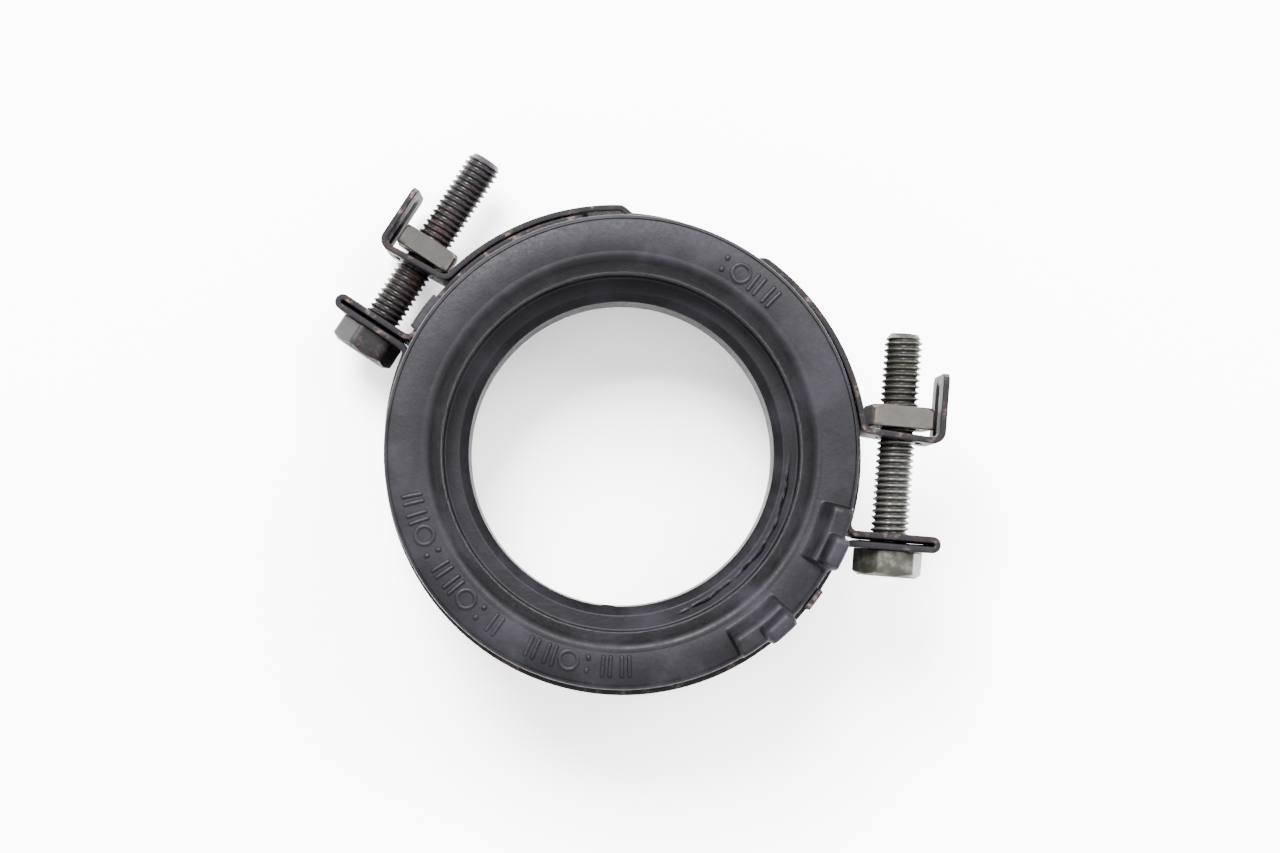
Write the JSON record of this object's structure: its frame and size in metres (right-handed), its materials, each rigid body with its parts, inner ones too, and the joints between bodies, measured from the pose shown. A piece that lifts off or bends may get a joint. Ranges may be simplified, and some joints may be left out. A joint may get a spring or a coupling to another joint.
{
  "type": "sleeve coupling",
  "caption": "Short rubber sleeve coupling with a stepped bore, a lugged rim and two sprung steel band clamps, each closed by a hexagon screw and a captive square nut.",
  "frame": {"origin": "bore axis in the bottom face of the sleeve, at the mouth of the bottom socket", "axes": "+Z along the bore towards the lugged top end; +X roughly towards the upper clamp's screw"},
  "size_m": [0.081, 0.0723, 0.034],
  "materials": {
    "rubber": "matt moulded rubber, slightly bloomed",
    "band_steel": "blackened spring steel, worn and rust-flecked on the edges",
    "nut_steel": "dull phosphated steel",
    "screw_steel": "tarnished zinc-plated steel with rust in the threads"
  },
  "bodies": {
    "sleeve": {"rubber_sleeve": "rubber"},
    "upper_clamp": {"upper_band_head_side": "band_steel"},
    "upper_ear": {"upper_band_nut_side": "band_steel"},
    "upper_nut": {"upper_nut": "nut_steel"},
    "upper_screw": {"upper_screw": "screw_steel"},
    "lower_clamp": {"lower_band_head_side": "band_steel"},
    "lower_ear": {"lower_band_nut_side": "band_steel"},
    "lower_nut": {"lower_nut": "nut_steel"},
    "lower_screw": {"lower_screw": "screw_steel"}
  },
  "joints": [
    {"name": "upper_clamp_turn", "type": "hinge", "parent": "sleeve", "child": "upper_clamp", "pos_m": [0.00014, -0.00053, 0.023], "axis": [0, 0, 1], "range_deg": [-2.5, 2.5]},
    {"name": "upper_ear_open", "type": "hinge", "parent": "upper_clamp", "child": "upper_ear", "pos_m": [-0.02961, 0.00192, 0.023], "axis": [0, 0, 1], "range_deg": [-0.35, 2.82]},
    {"name": "upper_nut_travel", "type": "slide", "parent": "upper_clamp", "child": "upper_nut", "axis": [0.0819, 0.9966, 0], "range_m": [-0.00041, 0.00321]},
    {"name": "upper_screw_turn", "type": "hinge", "parent": "upper_clamp", "child": "upper_screw", "pos_m": [0.03434, -0.01252, 0.023], "axis": [0.0819, 0.9966, 0], "range_deg": [-1442, 182]},
    {"name": "lower_clamp_turn", "type": "hinge", "parent": "sleeve", "child": "lower_clamp", "pos_m": [-0.00081, 0.00199, 0.008], "axis": [0, 0, 1], "range_deg": [-2.5, 2.5]},
    {"name": "lower_ear_open", "type": "hinge", "parent": "lower_clamp", "child": "lower_ear", "pos_m": [0.02458, -0.01455, 0.008], "axis": [0, 0, -1], "range_deg": [-0.35, 2.79]},
    {"name": "lower_nut_travel", "type": "slide", "parent": "lower_clamp", "child": "lower_nut", "axis": [0.5461, 0.8377, 0], "range_m": [-0.00041, 0.00321]},
    {"name": "lower_screw_turn", "type": "hinge", "parent": "lower_clamp", "child": "lower_screw", "pos_m": [-0.03349, 0.01691, 0.008], "axis": [0.5461, 0.8377, 0], "range_deg": [-1442, 182]}
  ],
  "couplings": [
    {"joint": "upper_nut_travel", "follows": "upper_ear_open", "m_per_rad": 0.064914},
    {"joint": "upper_screw_turn", "follows": "upper_ear_open", "ratio": -509.84},
    {"joint": "lower_nut_travel", "follows": "lower_ear_open", "m_per_rad": 0.065825},
    {"joint": "lower_screw_turn", "follows": "lower_ear_open", "ratio": -516.99}
  ]
}
